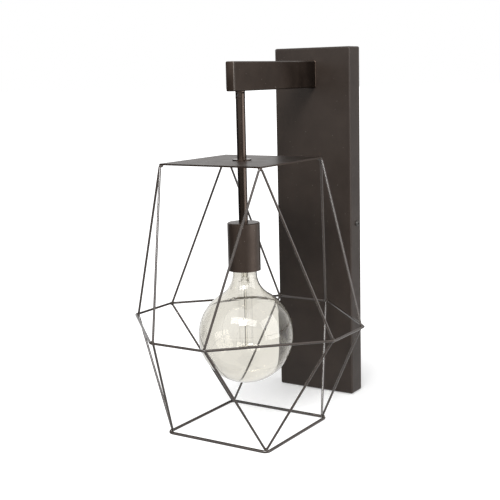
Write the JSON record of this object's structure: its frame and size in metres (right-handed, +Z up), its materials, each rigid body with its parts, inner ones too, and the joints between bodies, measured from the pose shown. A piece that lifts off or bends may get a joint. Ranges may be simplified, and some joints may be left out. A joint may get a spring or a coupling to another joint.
{
  "type": "cage wall light",
  "caption": "Wall light: tall back box, flat arm and stem on a small clevis, faceted wire cage round a large clear globe bulb.",
  "frame": {"origin": "on the wall, at the middle of the back box's wall side", "axes": "+Z up, +Y into the wall, +X to the right of someone who faces the light"},
  "size_m": [0.3058, 0.3654, 0.4952],
  "materials": {
    "powder_coat": "semi-gloss dark bronze powder coat",
    "zinc_steel": "bright zinc plate",
    "black_oxide": "blackened screw",
    "terminal_plastic": "moulded",
    "rubber": "soft",
    "lead_sheath": "insulated lead",
    "earth_sheath": "insulated lead",
    "brass": "plain",
    "ceramic": "glazed",
    "cap_metal": "rolled thin sheet",
    "black_glass": "vitrite",
    "clear_glass": "clear with a warm tint",
    "filament_metal": "drawn wire"
  },
  "bodies": {
    "wall_fixture": {"wall_bracket": "zinc_steel", "back_box": "powder_coat", "side_screws": "black_oxide", "arm_tube": "powder_coat", "arm_end_cap": "powder_coat", "arm_flange": "powder_coat", "arm_bush": "rubber", "stud_block": "zinc_steel", "swivel_fork": "powder_coat", "pivot_pins": "black_oxide", "terminal_block": "terminal_plastic", "terminal_screws": "zinc_steel", "earth_screw": "brass", "arm_leads": "lead_sheath", "earth_lead": "earth_sheath"},
    "pendant": {"stem_tongue": "powder_coat", "pivot_leads": "lead_sheath", "upper_stem": "powder_coat", "plate_nipple": "zinc_steel", "cage_washer": "powder_coat", "cage_plate": "powder_coat", "lower_stem": "powder_coat", "stem_leads": "lead_sheath", "cage_kite_front_left": "powder_coat", "cage_kite_front_right": "powder_coat", "cage_kite_back_left": "powder_coat", "cage_kite_back_right": "powder_coat", "cage_ring": "powder_coat", "cage_base": "powder_coat", "holder_nipple": "zinc_steel", "holder_cup": "powder_coat", "holder_nut": "zinc_steel", "holder_cap": "ceramic", "holder_insert": "ceramic", "holder_terminals": "brass", "holder_skirt": "ceramic", "holder_shell": "brass", "contact_tongue": "brass"},
    "bulb": {"bulb_cap": "cap_metal", "cap_insulator": "black_glass", "cap_contact": "cap_metal", "bulb_glass": "clear_glass", "bulb_mount": "clear_glass", "filament_hooks": "filament_metal", "filament": "filament_metal"}
  },
  "joints": [
    {"name": "pendant_swing", "type": "hinge", "parent": "wall_fixture", "child": "pendant", "pos_m": [0, -0.2125, 0.1865], "axis": [0, 1, 0], "range_deg": [-12, 12], "deforming": ["pivot_leads"]},
    {"name": "bulb_withdraw", "type": "slide", "parent": "pendant", "child": "bulb", "axis": [0, 0, -1], "range_m": [0, 0.25]}
  ]
}
